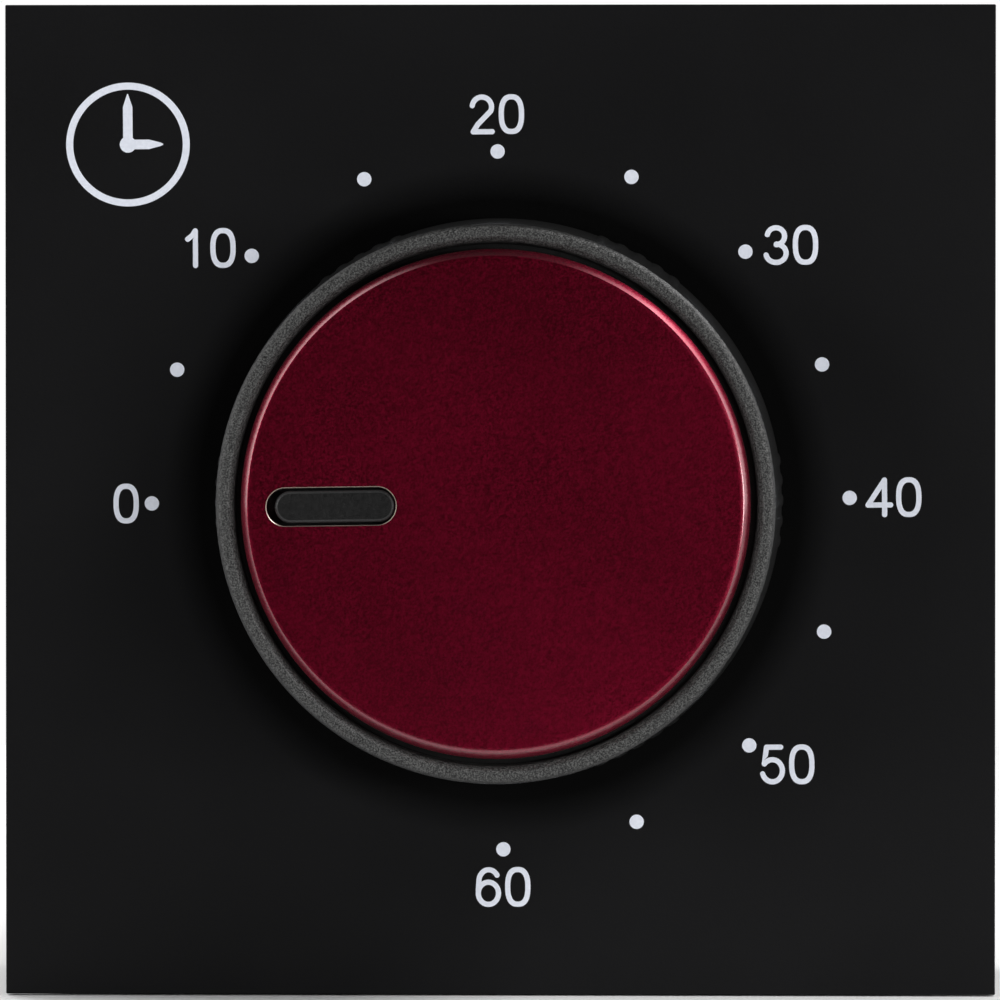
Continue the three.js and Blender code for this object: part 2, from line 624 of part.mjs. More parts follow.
// The finger on the main arbor that lifts the hammer's tail as the knob comes home.
function tripCam() {
  const [front, back] = [STRIKE_LAYER, STRIKE_LAYER + STRIKE_THICKNESS];
  const reach = TRIP.radius - TRIP.width / 2;
  const [x, z] = [reach * Math.cos(TRIP.angle), reach * Math.sin(TRIP.angle)];
  const finger = slab(bar(0, 0, x, z, TRIP.width / 2), front, back, 4);
  const disc = rod(4, front, back, 0, 0);
  return cut(join(disc, finger), rod(REAR_SHAFT_RADIUS + FIT_GAP, front - 1, back + 1, 0, 0, 24));
}

// ---- assembly -----------------------------------------------------------------------------------
const timer = new THREE.Group();
timer.name = 'kitchen_timer';
timer.position.set(0, -(KNOB_FACE + COVER_BACK) / 2, PLATE_WIDTH / 2 + FOOT_DROP);

function add(name, shape, material) {
  const { vertProperties, triVerts } = shape.getMesh();
  const geometry = new THREE.BufferGeometry();
  geometry.setAttribute('position', new THREE.BufferAttribute(vertProperties, 3));
  geometry.setIndex(new THREE.BufferAttribute(triVerts, 1));
  geometry.computeVertexNormals();
  const mesh = new THREE.Mesh(geometry, material);
  mesh.name = name;
  timer.add(mesh);
}

function addEach(name, places, make, material) {
  places.forEach((place, i) => add(`${name}_${i + 1}`, make(place), material));
}

add('front_plate', frontPlate(), blackFace);
add('plate_bush', plateBush(), brass);
add('case_shell', caseShell(), blackPlastic);
add('rear_cover', rearCover(), blackPlastic);
addEach('rear_cover_screw', corners, coverScrew, steel);
addEach('magnet', MAGNETS, magnet, magnetMetal);
addEach('foot', FOOT_PLACES, foot, rubber);

add('knob_body', knobBody(), grainPlastic);
add('knob_cap', knobCap(), redMetal);
add('pointer_insert', pointerInsert(), blackPlastic);
add('knob_clip', knobClip(), steel);
add('main_arbor', mainArbor(), steel);
add('clutch_washer', clutchWasher(), steel);
add('trip_cam', tripCam(), steel);

const rearHoles = [[BELL.x, BELL.z], [HAMMER.x, HAMMER.z]];
add('frame_plate_front', framePlate(FRAME_FRONT, SHAFT_RADIUS + RUNNING_GAP, MOVEMENT_SCREWS), steel);
add('frame_plate_rear', framePlate(FRAME_BACK, REAR_SHAFT_RADIUS + RUNNING_GAP, rearHoles), steel);
addEach('frame_pillar', PILLARS, pillar, brass);
addEach('pillar_nut', PILLARS, pillarNut, steel);
addEach('movement_screw', MOVEMENT_SCREWS, movementScrew, steel);

for (const [name, shape] of Object.entries(train())) {
  add(name, shape, name.endsWith('wheel') ? brass : steel);
}
add('escape_wheel', escapeWheel(), brass);
add('verge_arbor', arbor('verge'), steel);
add('verge_anchor', vergeAnchor(), steel);
add('balance_bar', balanceBar(), brass);
add('mainspring', mainspring(), steel);

add('bell_gong', bellGong(), steel);
add('bell_post', bellPost(), steel);
add('bell_screw', bellScrew(), steel);
add('hammer_post', hammerPost(), steel);
add('hammer_lever', hammerLever(), steel);
add('hammer_head', hammerHead(), brass);
add('hammer_spring', hammerSpring(), steel);

export default timer;
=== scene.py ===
"""A square clockwork kitchen timer: its visible shell, knob, dial and finishes, round the fixed CAD frame.

Everything is in metres. +Z is up and the dial faces -Y. MM turns millimetres into metres.
"""
import json
import math

import bmesh
import bpy
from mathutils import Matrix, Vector, noise


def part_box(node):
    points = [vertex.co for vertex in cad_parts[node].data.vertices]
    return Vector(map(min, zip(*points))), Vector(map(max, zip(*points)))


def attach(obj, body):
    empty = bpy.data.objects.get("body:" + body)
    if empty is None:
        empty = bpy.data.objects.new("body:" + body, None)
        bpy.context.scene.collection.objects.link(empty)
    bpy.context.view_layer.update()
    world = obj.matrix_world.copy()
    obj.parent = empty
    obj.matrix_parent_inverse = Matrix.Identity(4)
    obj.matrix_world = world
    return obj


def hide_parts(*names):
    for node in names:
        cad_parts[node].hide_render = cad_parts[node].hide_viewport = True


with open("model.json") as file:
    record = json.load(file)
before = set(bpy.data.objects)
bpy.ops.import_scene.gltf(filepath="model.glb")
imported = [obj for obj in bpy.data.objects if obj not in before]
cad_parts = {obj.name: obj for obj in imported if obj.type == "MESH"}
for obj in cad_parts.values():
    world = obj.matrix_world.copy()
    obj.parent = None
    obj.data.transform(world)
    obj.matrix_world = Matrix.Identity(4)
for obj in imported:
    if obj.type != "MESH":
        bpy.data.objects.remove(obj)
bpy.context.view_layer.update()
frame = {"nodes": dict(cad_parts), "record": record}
nodes = frame["nodes"]
MM = 0.001

# ---- places taken from the frame ----------------------------------------------------------------
plate_low, plate_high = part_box("front_plate")
PLATE_WIDTH = plate_high.x - plate_low.x
FACE_Y = plate_low.y
AXIS = Vector((0, FACE_Y, (plate_low.z + plate_high.z) / 2))  # the knob's axis, on the plate's face
PLATE_BACK = FACE_Y + 1.5 * MM
knob_low, knob_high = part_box("knob_body")
cap_low, cap_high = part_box("knob_cap")
shell_low, shell_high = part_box("case_shell")
cover_low, cover_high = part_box("rear_cover")

# ---- camera -------------------------------------------------------------------------------------
CAMERA_DISTANCE = 700 * MM
CAMERA_RIGHT = math.radians(1.14)  # the camera stands a little right of the knob's axis
CAMERA_UP = math.radians(1.08)  # and a little above it
FRAME_MARGIN = 1.0101  # the picture is this much wider than the plate
SENSOR = 36  # width in millimetres, the unit of lens and sensor
NEAREST, FARTHEST = 0.01, 20


def make_camera():
    """Looks at the knob from in front, with the plate filling the picture."""
    data = bpy.data.cameras.new("camera")
    data.sensor_width = SENSOR
    data.lens = SENSOR * CAMERA_DISTANCE / (PLATE_WIDTH * FRAME_MARGIN)
    data.clip_start = NEAREST
    data.clip_end = FARTHEST
    camera = bpy.data.objects.new("camera", data)
    bpy.context.scene.collection.objects.link(camera)
    direction = Vector((
        math.sin(CAMERA_RIGHT) * math.cos(CAMERA_UP),
        -math.cos(CAMERA_RIGHT) * math.cos(CAMERA_UP),
        math.sin(CAMERA_UP),
    ))
    camera.location = AXIS + direction * CAMERA_DISTANCE
    camera.rotation_mode = "QUATERNION"
    camera.rotation_quaternion = (-direction).to_track_quat("-Z", "Y")
    bpy.context.scene.camera = camera


make_camera()

# ---- driving sizes ------------------------------------------------------------------------------
PLATE_CORNER = 0.1 * MM
PLATE_HOLE = 4.6 * MM  # radius
WELL_RADIUS = 20.62 * MM  # the sunk seat of the cap, inside the knob's rim
RIM_CREST = 21.15 * MM  # the rim is flat from here out to its shoulder
RIM_SHOULDER = 0.55 * MM
RIM_RADIUS = 22.1 * MM  # the skirt widens from its rim to its foot
FOOT_RADIUS = 22.75 * MM
FOOT_EDGE = 0.12 * MM
RIM_GRAIN = (20.8 * MM, 22.05 * MM)  # the eroded grain covers the rim between these radii
GRAIN_FADE = ((20.5 * MM, 20.85 * MM), (21.8 * MM, 22.05 * MM))  # where its colour comes and goes
PAINTED_SHADE_RING = (24.2 * MM, 27.2 * MM)  # painted shade round the knob: the plate's colour is near black inside this ring, and fades out across it
CASE_CORNER = 3 * MM
CASE_HALF = (shell_high.x - shell_low.x) / 2
SCREW_PLACES = [(i * 34 * MM, k * 34 * MM) for k in (1, -1) for i in (-1, 1)]
MAGNET_PLACES = [(-20 * MM, -18 * MM), (20 * MM, -18 * MM)]


# ---- material nodes -----------------------------------------------------------------------------
class Shading:
    """A node tree, with short ways to add the nodes used here."""

    def __init__(self, tree):
        self.tree = tree

    def node(self, kind, **inputs):
        """Adds a node; each input is a socket to link or a constant, by its name with _ for a space."""
        made = self.tree.nodes.new(kind)
        for key, value in inputs.items():
            socket = made.inputs[key.replace("_", " ")]
            if isinstance(value, bpy.types.NodeSocket):
                self.tree.links.new(value, socket)
            else:
                socket.default_value = value
        return made

    def noise(self, scale, detail=2.0, place=None, roughness=0.5):
        place = place or self.place
        made = self.node("ShaderNodeTexNoise", Vector=place, Scale=scale, Detail=detail)
        made.inputs["Roughness"].default_value = roughness
        return made.outputs["Fac"]

    def ramp(self, value, *stops):
        """Colours along a value: each stop is (place, colour)."""
        made = self.node("ShaderNodeValToRGB", Fac=value)
        elements = made.color_ramp.elements
        while len(elements) < len(stops):
            elements.new(0.5)
        for element, (place, colour) in zip(elements, stops):
            element.position = place
            element.color = (*colour, 1)
        return made.outputs["Color"]

    def span(self, value, low, high, to_low, to_high):
        """Maps low..high to to_low..to_high, and holds the end values outside."""
        made = self.node("ShaderNodeMapRange", Value=value)
        for key, number in zip(("From Min", "From Max", "To Min", "To Max"), (low, high, to_low, to_high)):
            made.inputs[key].default_value = number
        return made.outputs["Result"]

    def math(self, operation, a, b=0.0):
        made = self.tree.nodes.new("ShaderNodeMath")
        made.operation = operation
        for socket, value in zip(made.inputs, (a, b)):
            if isinstance(value, bpy.types.NodeSocket):
                self.tree.links.new(value, socket)
            else:
                socket.default_value = value
        return made.outputs["Value"]

    def vector_math(self, operation, value, constant=(0, 0, 0)):
        made = self.tree.nodes.new("ShaderNodeVectorMath")
        made.operation = operation
        self.tree.links.new(value, made.inputs[0])
        made.inputs[1].default_value = constant
        return made.outputs

    def mix(self, share, one, other):
        """From the first colour to the second as share goes from 0 to 1."""
        made = self.node("ShaderNodeMix")
        made.data_type = "RGBA"
        colours = [socket for socket in made.inputs if socket.type == "RGBA"]
        for value, socket in ((share, made.inputs["Factor"]), (one, colours[0]), (other, colours[1])):
            self.tree.links.new(value, socket)
        return [socket for socket in made.outputs if socket.type == "RGBA"][0]


class Finish(Shading):
    """A Principled material with procedural detail in object coordinates."""

    def __init__(self, name):
        self.material = bpy.data.materials.new(name)
        self.material.use_nodes = True
        super().__init__(self.material.node_tree)
        self.shader = self.tree.nodes["Principled BSDF"]
        self.place = self.tree.nodes.new("ShaderNodeTexCoord").outputs["Object"]

    def set(self, **values):
        for key, value in values.items():
            self.shader.inputs[key.replace("_", " ")].default_value = value
        return self

    def link(self, output, name):
        self.tree.links.new(output, self.shader.inputs[name])

    def bump(self, height, distance, strength=1.0):
        made = self.node("ShaderNodeBump", Height=height, Distance=distance, Strength=strength)
        return made.outputs["Normal"]

    def from_axis(self):
        """Distance from the knob's axis, in metres."""
        moved = self.vector_math("SUBTRACT", self.place, AXIS)["Vector"]
        flat = self.vector_math("MULTIPLY", moved, (1, 0, 1))["Vector"]
        return self.vector_math("LENGTH", flat)["Value"]


def face_finish():
    """Fine matte black of the dial plate, with painted shade: its colour darkens to near black in a ring
    round the knob.
    """
    made = Finish("face_black_with_painted_shade")
    fine = made.noise(5200, 3, roughness=0.65)
    broad = made.noise(60, 2)
    tone = made.span(made.math("ADD", fine, broad), 0.7, 1.3, 0.85, 1.15)
    # painted shade: the colour falls to near black round the knob, fading out across the ring
    ring = made.span(made.from_axis(), *PAINTED_SHADE_RING, 0.01, 1.0)
    level = made.math("MULTIPLY", tone, ring)
    colour = made.node("ShaderNodeVectorMath")
    colour.operation = "SCALE"
    colour.inputs[0].default_value = (0.0066, 0.0066, 0.0070)
    made.tree.links.new(level, colour.inputs["Scale"])
    made.link(colour.outputs["Vector"], "Base Color")
    made.link(made.span(fine, 0.3, 0.7, 0.42, 0.54), "Roughness")
    made.link(made.bump(fine, 0.012 * MM, 0.5), "Normal")
    return made.set(Specular_IOR_Level=0.05).material


def grain_finish():
    """Black plastic of the knob: a spark-eroded grain on the rim, smoother and darker on the side."""
    made = Finish("knob_grain")
    fine = made.noise(7500, 2, roughness=0.6)
    coarse = made.noise(2300, 2)
    away = made.from_axis()
    comes, goes = GRAIN_FADE
    rim = made.math("MULTIPLY", made.span(away, *comes, 0, 1), made.span(away, *goes, 1, 0))
    speck = made.ramp(fine, (0.40, (0.005, 0.005, 0.005)), (0.64, (0.078, 0.078, 0.076)))
    plain = made.ramp(coarse, (0.3, (0.004, 0.004, 0.004)), (0.7, (0.008, 0.008, 0.008)))
    made.link(made.mix(rim, plain, speck), "Base Color")
    made.link(made.span(rim, 0, 1, 0.3, 0.4), "Roughness")
    height = made.math("ADD", fine, made.math("MULTIPLY", coarse, 0.5))
    made.link(made.bump(height, 0.07 * MM, made.span(rim, 0, 1, 0.12, 0.8)), "Normal")
    return made.set(Specular_IOR_Level=0.35).material


def red_finish():
    """Dark red satin lacquer over metal."""
    made = Finish("cap_red")
    fine = made.noise(6500, 2)
    cloud = made.noise(45, 3)
    tone = made.math("ADD", made.math("MULTIPLY", fine, 0.5), made.math("MULTIPLY", cloud, 0.5))
    made.link(made.ramp(tone, (0.35, (0.155, 0.0028, 0.017)), (0.65, (0.272, 0.0050, 0.029))), "Base Color")
    made.link(made.span(fine, 0.3, 0.7, 0.28, 0.40), "Roughness")
    made.link(made.bump(fine, 0.006 * MM, 0.6), "Normal")
    return made.set(Metallic=1.0, Coat_Weight=1.0, Coat_Roughness=0.14, Coat_IOR=1.75).material


def plastic_finish(name, colour, roughness, grain=2600, depth=0.03):
    """Moulded plastic with a fine satin texture."""
    made = Finish(name)
    fine = made.noise(grain, 3)
    cloud = made.noise(70, 2)
    low, high = [tuple(c * k for c in colour) for k in (0.8, 1.25)]
    made.link(made.ramp(cloud, (0.3, low), (0.7, high)), "Base Color")
    made.link(made.span(fine, 0.3, 0.7, roughness - 0.06, roughness + 0.06), "Roughness")
    made.link(made.bump(fine, depth * MM, 0.5), "Normal")
    return made.set(Specular_IOR_Level=0.25).material


def ink_finish():
    """Pale grey-blue screen-printed ink."""
    made = Finish("dial_ink")
    fine = made.noise(4000, 2)
    made.link(made.ramp(fine, (0.3, (0.66, 0.69, 0.77)), (0.7, (0.72, 0.75, 0.83))), "Base Color")
    made.link(made.span(fine, 0.3, 0.7, 0.5, 0.6), "Roughness")
    made.link(made.bump(fine, 0.004 * MM, 0.4), "Normal")
    return made.material


def metal_finish(name, colour, roughness, scratches=(300, 300, 12000)):
    """Metal with fine directional scratches and faint tarnish."""
    made = Finish(name)
    stretched = made.node("ShaderNodeMapping", Vector=made.place, Scale=scratches)
    lines = made.noise(1, 3, stretched.outputs["Vector"])
    cloud = made.noise(120, 3)
    low, high = [tuple(min(1, c * k) for c in colour) for k in (0.75, 1.08)]
    made.link(made.ramp(cloud, (0.25, low), (0.7, high)), "Base Color")
    made.link(made.span(lines, 0.3, 0.7, roughness - 0.06, roughness + 0.1), "Roughness")
    made.link(made.bump(lines, 0.006 * MM, 0.4), "Normal")
    return made.set(Metallic=1.0).material


def rubber_finish():
    """Dull dark rubber with a soft coarse texture."""
    made = Finish("foot_rubber")
    fine = made.noise(2200, 3)
    made.link(made.ramp(fine, (0.3, (0.012, 0.012, 0.012)), (0.7, (0.028, 0.027, 0.026))), "Base Color")
    made.link(made.span(fine, 0.3, 0.7, 0.75, 0.9), "Roughness")
    made.link(made.bump(fine, 0.03 * MM, 0.6), "Normal")
    return made.material


FACE = face_finish()
GRAIN = grain_finish()
RED = red_finish()
INK = ink_finish()
CASE_BLACK = plastic_finish("case_black", (0.010, 0.010, 0.0105), 0.5, 2200, 0.05)
POINTER_BLACK = plastic_finish("pointer_black", (0.006, 0.006, 0.006), 0.4, 3600, 0.07)
# a painted highlight for the rounded edge of the pointer bar
POINTER_PAINTED_HIGHLIGHT = plastic_finish("pointer_painted_highlight", (0.026, 0.026, 0.026), 0.35, 3600, 0.07)
STEEL = metal_finish("steel", (0.56, 0.57, 0.59), 0.3)
BLUED = metal_finish("blued_steel", (0.16, 0.18, 0.24), 0.35)
NICKEL = metal_finish("nickel", (0.66, 0.64, 0.60), 0.22)
BRASS = metal_finish("brass", (0.75, 0.53, 0.22), 0.3)
CUT_EDGE = metal_finish("cut_edge", (0.42, 0.33, 0.29), 0.4)
RUBBER = rubber_finish()


# ---- meshes -------------------------------------------------------------------------------------
def add_object(name, mesh_data, material, body, smooth=math.radians(35)):
    """Puts a bmesh into the scene, smooth except across edges sharper than `smooth`."""
    bmesh.ops.remove_doubles(mesh_data, verts=mesh_data.verts, dist=1e-7)
    bmesh.ops.recalc_face_normals(mesh_data, faces=mesh_data.faces)
    mesh = bpy.data.meshes.new(name)
    mesh_data.to_mesh(mesh)
    mesh_data.free()
    mesh.polygons.foreach_set("use_smooth", [True] * len(mesh.polygons))
    mesh.set_sharp_from_angle(angle=smooth)
    mesh.materials.append(material)
    piece = bpy.data.objects.new(name, mesh)
    bpy.context.scene.collection.objects.link(piece)
    normals = piece.modifiers.new("normals", "WEIGHTED_NORMAL")
    normals.keep_sharp = True
    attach(piece, body)
    return piece


def ring_of(mesh_data, points, y):
    """A loop of vertices at depth y, from (x, z) pairs about the knob's axis."""
    return [mesh_data.verts.new((AXIS.x + x, y, AXIS.z + z)) for x, z in points]


def skin(mesh_data, one, other, material=0):
    """Joins two loops of the same length with quads, in the piece's material of that number."""
    count = len(one)
    for i in range(count):
        j = (i + 1) % count
        mesh_data.faces.new((one[i], one[j], other[j], other[i])).material_index = material


def fill(mesh_data, loops):
    """Fills the flat area inside the first loop and outside the others."""
    edges = []
    for loop in loops:
        for i, vertex in enumerate(loop):
            pair = (vertex, loop[(i + 1) % len(loop)])
            edges.append(mesh_data.edges.get(pair) or mesh_data.edges.new(pair))
    bmesh.ops.triangle_fill(mesh_data, use_beauty=True, use_dissolve=False, edges=edges)


def circle(radius, x=0.0, z=0.0, steps=64):
    """Points round a circle, as (x, z) pairs."""
    turns = [2 * math.pi * i / steps for i in range(steps)]
    return [(x + radius * math.cos(t), z + radius * math.sin(t)) for t in turns]


def pill(x1, z1, x2, z2, radius, steps=20):
    """The outline of a bar with round ends."""
    angle = math.atan2(z2 - z1, x2 - x1)
    points = []
    for (x, z), start in (((x2, z2), -math.pi / 2), ((x1, z1), math.pi / 2)):
        for i in range(steps + 1):
            t = angle + start + math.pi * i / steps
            points.append((x + radius * math.cos(t), z + radius * math.sin(t)))
    return points


def rounded_square(half, radius, steps=12):
    """The outline of a square with round corners, half a side from its middle to its edge."""
    points = []
    for quarter, (i, k) in enumerate(((1, 1), (-1, 1), (-1, -1), (1, -1))):
        for step in range(steps + 1):
            t = math.pi / 2 * (quarter + step / steps)
            points.append((
                i * (half - radius) + radius * math.cos(t),
                k * (half - radius) + radius * math.sin(t),
            ))
    return points


def rounding(radius, steps=5):
    """How far a rounded edge stands in from the side, and how deep, in pairs from the face down."""
    quarter = [math.pi / 2 * i / steps for i in range(steps + 1)]
    return [(radius * (1 - math.sin(t)), radius * (1 - math.cos(t))) for t in quarter]


def lathe(mesh_data, profile, segments, centre=AXIS, upright=False, shape=None):
    """Turns a profile of (radius, depth) pairs about the line through centre along Y, or along Z.

    shape(angle, radius, depth) adds to the radius. A profile that starts off the axis closes on itself.
    """
    rings = []
    for radius, depth in profile:
        turns = [2 * math.pi * i / segments for i in range(segments)] if radius > 1e-9 else [0]
        ring = []
        for t in turns:
            reach = radius + (shape(t, radius, depth) if shape else 0)
            across, along = reach * math.cos(t), reach * math.sin(t)
            place = (centre.x + across, centre.y + along, depth) if upright else (
                centre.x + across, depth, centre.z + along)
            ring.append(mesh_data.verts.new(place))
        rings.append(ring)
    closed = profile[0][0] > 1e-9
    pairs = list(zip(rings, rings[1:])) + ([(rings[-1], rings[0])] if closed else [])
    for one, other in pairs:
        if len(one) == 1 and len(other) == 1:
            continue
        if len(one) == 1 or len(other) == 1:
            tip, loop = (one[0], other) if len(one) == 1 else (other[0], one)
            for i in range(segments):
                mesh_data.faces.new((tip, loop[i], loop[(i + 1) % segments]))
        else:
            skin(mesh_data, one, other)


def turn(name, profile, segments, material, body, slot, **options):
    """A piece of its own made by lathe()."""
    mesh_data = bmesh.new()
    lathe(mesh_data, profile, segments, **options)
    return add_object(name, mesh_data, material, body)


# ---- front plate --------------------------------------------------------------------------------
def make_plate():
    """The dial plate with a softened edge and the hole for the knob's bush."""
    mesh_data = bmesh.new()
    half = PLATE_WIDTH / 2
    edge, border = 0.08 * MM, 0.3 * MM
    flat = ring_of(mesh_data, rounded_square(half - border, 0.02 * MM, 4), FACE_Y)
    loops = [flat]
    loops += [ring_of(mesh_data, rounded_square(half - inset, PLATE_CORNER - inset * 0.8, 4), FACE_Y + depth)
              for inset, depth in rounding(edge, 3)]
    loops.append(ring_of(mesh_data, rounded_square(half, PLATE_CORNER, 4), PLATE_BACK))
    for one, other in zip(loops, loops[1:]):
        skin(mesh_data, one, other)
    hole_front = ring_of(mesh_data, circle(PLATE_HOLE), FACE_Y)
    hole_back = ring_of(mesh_data, circle(PLATE_HOLE), PLATE_BACK)
    skin(mesh_data, hole_front, hole_back)
    fill(mesh_data, [loops[0], hole_front])
    fill(mesh_data, [loops[-1], hole_back])
    piece = add_object("face_panel", mesh_data, FACE, "case")
    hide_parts("front_plate")


make_plate()

# ---- knob ---------------------------------------------------------------------------------------
RIDGE_HEIGHT = 0.13 * MM
RIDGE_PITCH = math.radians(4.2)
RIDGE_FILL = 0.6  # a ridge takes up this share of its pitch
RIDGE_START = 2.5 * MM  # ridges grow out of the side from here down
RIDGE_RUN_OUT = 4 * MM
RIDGES = 5
GROUPS = 6
GRAIN_DEPTH = 0.1 * MM  # of the eroded rim
GRAIN_SCALE = 4200
SIDE_STEPS = 8
RIM_Y = knob_low.y
KNOB_FOOT_Y = knob_high.y


def ridge_swell(t, radius, y):
    """How far the knob's side stands out at angle t: groups of low ridges."""
    if radius < RIM_RADIUS - 0.3 * MM or y > KNOB_FOOT_Y - 0.05 * MM:
        return 0
    step = 2 * math.pi / GROUPS
    offset = (t + step / 2) % step - step / 2
    place = offset / RIDGE_PITCH
    nearest = round(place)
    if abs(nearest) > (RIDGES - 1) / 2:
        return 0
    away = abs(place - nearest) * 2
    crown = max(0, 1 - (away / RIDGE_FILL) ** 2) ** 0.6
    start = min(1, max(0, (y - RIM_Y - RIDGE_START) / RIDGE_RUN_OUT))
    return RIDGE_HEIGHT * crown * start


def knob_profile():
    """The knob body from the middle of its well over the rim, down the side and back inside."""
    foot, shoulder = KNOB_FOOT_Y, RIM_SHOULDER
    well_floor, web, boss_floor = RIM_Y + 1.8 * MM, RIM_Y + 3.4 * MM, RIM_Y + 2.8 * MM
    boss_radius, bore = 5 * MM, 3.2 * MM
    profile = [(0, well_floor), (WELL_RADIUS - 0.12 * MM, well_floor), (WELL_RADIUS, well_floor - 0.1 * MM)]
    inner_side = ((0, 0.7), (0.1, 0.5), (0.23, 0.32), (0.33, 0.18), (0.43, 0.07))
    profile += [(WELL_RADIUS + out * MM, RIM_Y + down * MM) for out, down in inner_side]
    profile += [(RIM_CREST + 0.1 * MM * i, RIM_Y) for i in range(5)]
    for i in range(1, SIDE_STEPS + 1):
        t = math.radians(87.5) * i / SIDE_STEPS
        profile.append((RIM_RADIUS - shoulder * (1 - math.sin(t)), RIM_Y + shoulder * (1 - math.cos(t))))
    for i in range(1, SIDE_STEPS + 1):
        part = i / SIDE_STEPS
        side_y = RIM_Y + shoulder + (foot - FOOT_EDGE - RIM_Y - shoulder) * part
        profile.append((RIM_RADIUS + (FOOT_RADIUS - RIM_RADIUS) * part, side_y))
    profile += [(FOOT_RADIUS - FOOT_EDGE, foot), (21.2 * MM, foot), (20.6 * MM, web)]
    profile += [(boss_radius + 0.2 * MM, web), (boss_radius, foot), (bore, foot)]
    return profile + [(bore, boss_floor), (0, boss_floor)]


def make_knob_body():
    """The knob's rim and skirt, with the grip ridges and the eroded grain as real relief."""
    mesh_data = bmesh.new()
    lathe(mesh_data, knob_profile(), 1080, shape=ridge_swell)
    inner, outer = RIM_GRAIN
    for vertex in mesh_data.verts:
        away = math.hypot(vertex.co.x - AXIS.x, vertex.co.z - AXIS.z)
        if vertex.co.y < RIM_Y + RIM_SHOULDER and inner < away < outer:
            vertex.co.y += GRAIN_DEPTH * (0.5 + 0.5 * noise.noise(vertex.co * GRAIN_SCALE))
    piece = add_object("knob_skirt", mesh_data, GRAIN, "knob")
    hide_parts("knob_body")


make_knob_body()

POINTER_TILT = math.radians(0.8)  # the pointer lies this much off level
SLOT = (-12.96 * MM, 10.21 * MM, 2.98 * MM)  # centre, length and width, as for the insert
INSERT = (-12.68 * MM, 9.48 * MM, 2.56 * MM)


def pointer_outline(place, inset=0.0, steps=20):
    """The pill of the slot or the insert, shrunk by inset: place is (centre, length, width)."""
    centre, length, width = place
    reach = (length - width) / 2
    c, s = math.cos(POINTER_TILT), math.sin(POINTER_TILT)
    left, right = [(x * c, x * s) for x in (centre - reach, centre + reach)]
    return pill(*left, *right, width / 2 - inset, steps)


def make_cap():
    """The red disc: a bevelled rim, and a slot whose narrow edge shows bare metal."""
    mesh_data = bmesh.new()
    radius = (cap_high.x - cap_low.x) / 2
    face, back = cap_low.y, cap_high.y
    chamfer, soft, border = 0.55 * MM, 0.05 * MM, 0.4 * MM
    outer = [(radius - chamfer - border, 0), (radius - chamfer - soft, 0)]
    outer += [(radius - chamfer + soft * 0.4, soft * 0.4)]
    outer += [(radius - soft * 0.4, chamfer - soft * 0.4), (radius, chamfer + soft)]
    outer += [(radius, back - face - soft), (radius - soft, back - face)]
    rims = [ring_of(mesh_data, circle(r, steps=256), face + depth) for r, depth in outer]
    for one, other in zip(rims, rims[1:]):
        skin(mesh_data, one, other)
    edge = 0.07 * MM
    sections = ((-2.5, 0), (-1, 0), (-0.9, 0.1), (-0.1, 0.9), (0, 1))  # inset and depth, in edges
    slots = [ring_of(mesh_data, pointer_outline(SLOT, inset * edge), face + depth * edge)
             for inset, depth in sections]
    slots.append(ring_of(mesh_data, pointer_outline(SLOT), back))
    for i, (one, other) in enumerate(zip(slots, slots[1:])):
        skin(mesh_data, one, other, 1 if i in (1, 2, 3) else 0)
    fill(mesh_data, [rims[0], slots[0]])
    fill(mesh_data, [rims[-1], slots[-1]])
    piece = add_object("red_cap", mesh_data, RED, "knob", math.radians(25))
    piece.data.materials.append(CUT_EDGE)  # the slot was cut after lacquering
    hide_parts("knob_cap")


make_cap()


def make_insert():
    """The black bar in the slot, with a rounded edge coloured lighter as a painted highlight."""
    mesh_data = bmesh.new()
    low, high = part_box("pointer_insert")
    border, soft, soft_steps = 0.5 * MM, 0.24 * MM, 6
    sections = [(border, 0), *rounding(soft, soft_steps)]
    loops = [ring_of(mesh_data, pointer_outline(INSERT, inset, 24), low.y + depth)
             for inset, depth in sections]
    loops.append(ring_of(mesh_data, pointer_outline(INSERT, 0, 24), high.y))
    # the faces of the rounded edge take the second material, a painted highlight
    for i, (one, other) in enumerate(zip(loops, loops[1:])):
        skin(mesh_data, one, other, 1 if 1 <= i <= soft_steps else 0)
    fill(mesh_data, [loops[0]])
    fill(mesh_data, [loops[-1]])
    piece = add_object("pointer_bar", mesh_data, POINTER_BLACK, "knob")
    piece.data.materials.append(POINTER_PAINTED_HIGHLIGHT)  # painted highlight: a lighter colour on its rounded edge
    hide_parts("pointer_insert")


make_insert()

# ---- case, cover, screws, magnets and feet ------------------------------------------------------
SOUND_SLOTS = 5
SOUND_SLOT_PITCH = 5 * MM
SOUND_SLOT_REACH = 9 * MM  # from its middle to the middle of its round end
SOUND_SLOT_HALF = 0.9 * MM
BELL_Z = 14 * MM  # the sound slots are level with the bell, this much above the knob's axis
SHANK_RADIUS = 0.72 * MM
THREAD_RADIUS = 0.95 * MM
THREAD_PITCH = 0.8 * MM


def case_ring(mesh_data, inset, y):
    """The case's outline, shrunk by inset, at depth y."""
    return ring_of(mesh_data, rounded_square(CASE_HALF - inset, CASE_CORNER - inset), y)


